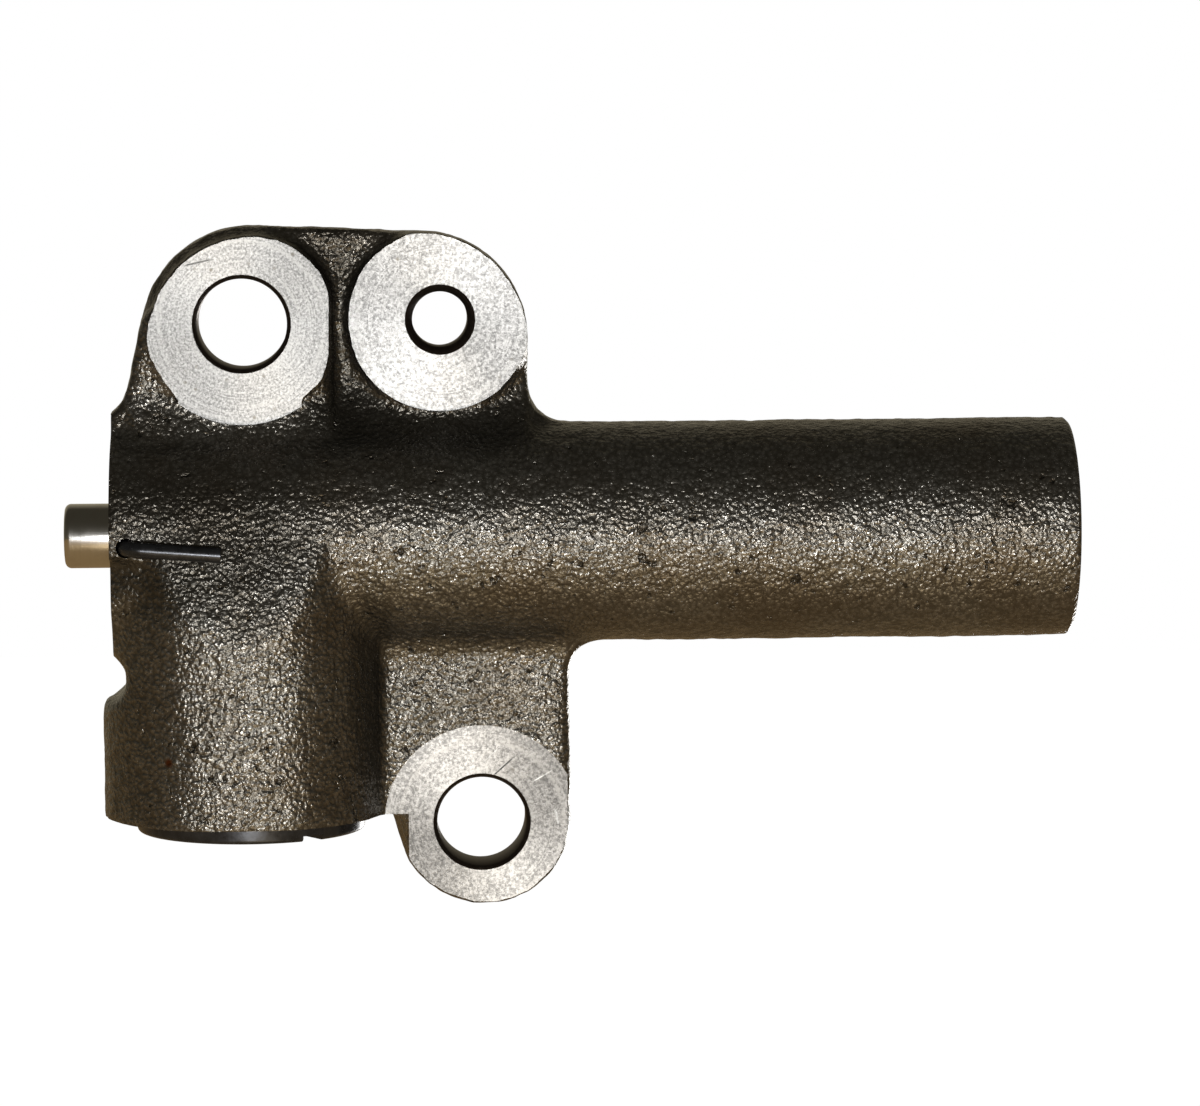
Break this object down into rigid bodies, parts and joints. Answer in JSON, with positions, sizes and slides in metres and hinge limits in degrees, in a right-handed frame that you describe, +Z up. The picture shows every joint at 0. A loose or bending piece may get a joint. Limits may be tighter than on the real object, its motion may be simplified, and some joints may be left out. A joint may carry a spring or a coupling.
{
  "type": "hydraulic tensioner",
  "caption": "Cast iron hydraulic belt tensioner with a horizontal barrel, a reservoir under one end, bolt bosses, and a push rod locked by a bent pin.",
  "frame": {"origin": "centre of the push rod's end face at rest, with the rod held back by the stopper pin", "axes": "+X along the barrel towards its closed end, +Y into the engine, +Z up as in the picture, away from the reservoir's plug"},
  "size_m": [0.1234, 0.0322, 0.0835],
  "materials": {
    "cast_iron": "as cast, with bright machined faces",
    "ground_steel": "ground and polished",
    "black_oxide": "black oxide, slightly glossy",
    "turned_steel": "turned",
    "spring_steel": "drawn wire",
    "seal_rubber": "matt",
    "guide_bronze": "bored",
    "ring_plastic": "satin"
  },
  "bodies": {
    "housing": {"body": "cast_iron", "rod_seal": "seal_rubber", "rod_guide_bush": "guide_bronze", "bush_circlip": "spring_steel", "end_plug": "turned_steel", "end_plug_o_ring": "seal_rubber", "end_snap_ring": "spring_steel", "return_spring": "spring_steel", "reservoir_plug": "black_oxide", "reservoir_plug_o_ring": "seal_rubber", "plunger_spring": "spring_steel"},
    "push_rod": {"rod": "ground_steel", "piston": "turned_steel", "piston_wear_ring": "ring_plastic", "check_valve_seat": "ground_steel", "check_ball_cage": "turned_steel", "check_ball_spring": "spring_steel"},
    "valve_ball": {"check_ball": "ground_steel"},
    "plunger": {"reservoir_plunger": "turned_steel", "plunger_seal": "seal_rubber"},
    "locking_pin": {"stopper_pin": "black_oxide"}
  },
  "joints": [
    {"name": "rod_slide", "type": "slide", "parent": "housing", "child": "push_rod", "axis": [-1, 0, 0], "range_m": [0, 0.0105], "deforming": ["return_spring"]},
    {"name": "stopper_pin_pull", "type": "slide", "parent": "housing", "child": "locking_pin", "axis": [0, -1, 0], "range_m": [0, 0.0315]},
    {"name": "reservoir_plunger_slide", "type": "slide", "parent": "housing", "child": "plunger", "axis": [0, 0, 1], "range_m": [0, 0.00101], "deforming": ["plunger_spring"]},
    {"name": "check_ball_lift", "type": "slide", "parent": "push_rod", "child": "valve_ball", "axis": [1, 0, 0], "range_m": [0, 0.0006], "stiffness_N_per_m": 100, "springref_m": -0.001, "deforming": ["check_ball_spring"]}
  ],
  "couplings": [
    {"joint": "stopper_pin_pull", "follows": "rod_slide", "ratio": 3},
    {"joint": "reservoir_plunger_slide", "follows": "rod_slide", "ratio": 0.096}
  ]
}
